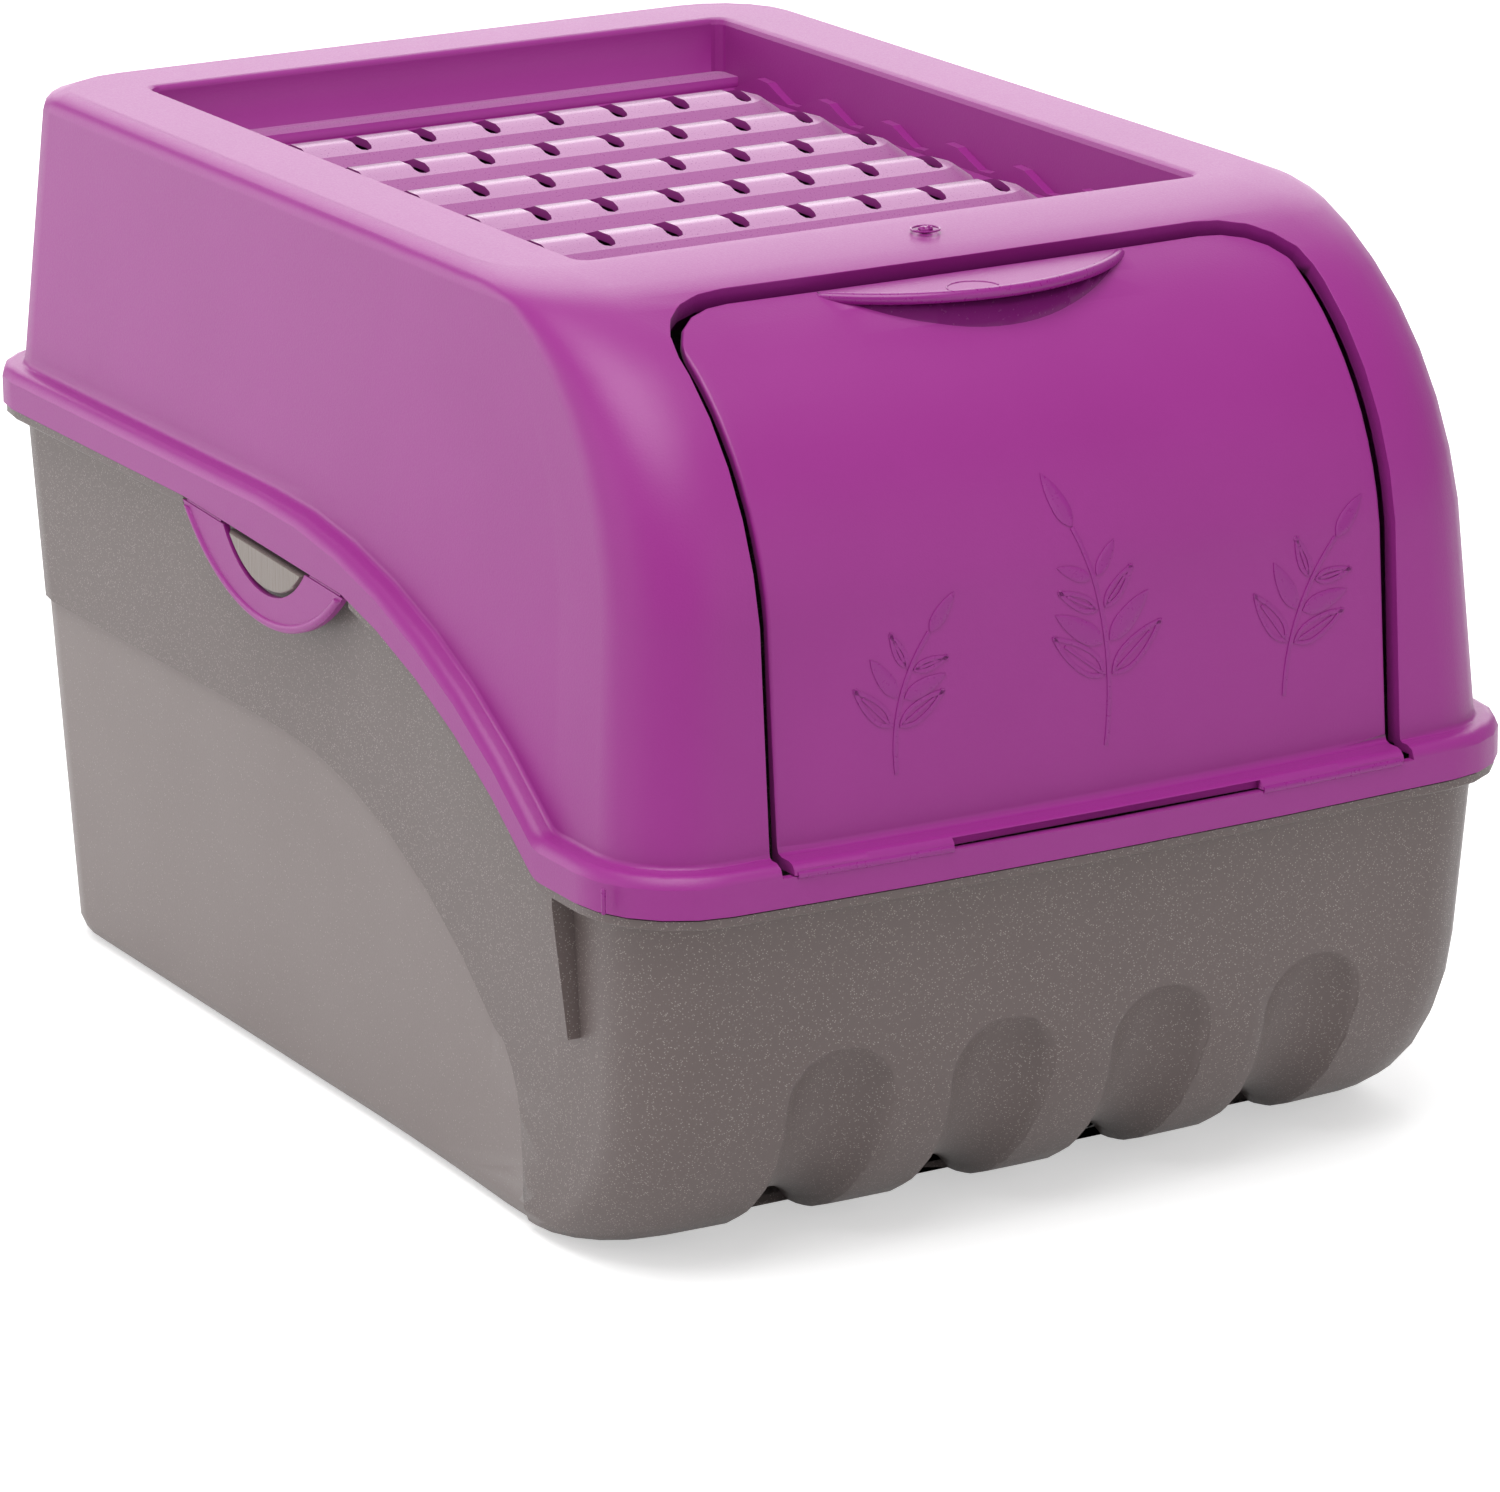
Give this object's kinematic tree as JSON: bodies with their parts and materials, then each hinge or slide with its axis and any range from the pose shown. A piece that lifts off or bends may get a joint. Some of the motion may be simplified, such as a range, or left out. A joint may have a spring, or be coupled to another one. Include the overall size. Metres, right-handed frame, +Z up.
{
  "type": "potato storage bin",
  "caption": "Lidded kitchen storage bin for potatoes: drafted tub with scooped floor, lift-off vented hood with a hinged front flap and side latches.",
  "frame": {"origin": "on the table plane under the middle of the bin", "axes": "+Z up, -Y towards the flap at the front, +X across the bin, which is the same on both sides"},
  "size_m": [0.2642, 0.38, 0.24],
  "materials": {
    "tub_plastic": "matte, fine grain with pale flecks",
    "lid_plastic": "satin, fine grain"
  },
  "bodies": {
    "tub": {"tub": "tub_plastic"},
    "lid": {"hood": "lid_plastic"},
    "flap": {"flap": "lid_plastic"},
    "latch_left": {"latch_left": "lid_plastic"},
    "latch_right": {"latch_right": "lid_plastic"}
  },
  "joints": [
    {"name": "lid_lift", "type": "slide", "parent": "tub", "child": "lid", "axis": [0, 0, 1], "range_m": [0, 0.16]},
    {"name": "flap_hinge", "type": "hinge", "parent": "lid", "child": "flap", "pos_m": [0, -0.1894, 0.1092], "axis": [1, 0, 0], "range_deg": [0, 105]},
    {"name": "latch_left_hinge", "type": "hinge", "parent": "lid", "child": "latch_left", "pos_m": [-0.1305, 0.008, 0.15059], "axis": [0, 0.9985, 0.0545], "range_deg": [0, 38]},
    {"name": "latch_right_hinge", "type": "hinge", "parent": "lid", "child": "latch_right", "pos_m": [0.1305, 0.008, 0.15059], "axis": [0, -0.9985, -0.0545], "range_deg": [0, 38]}
  ]
}
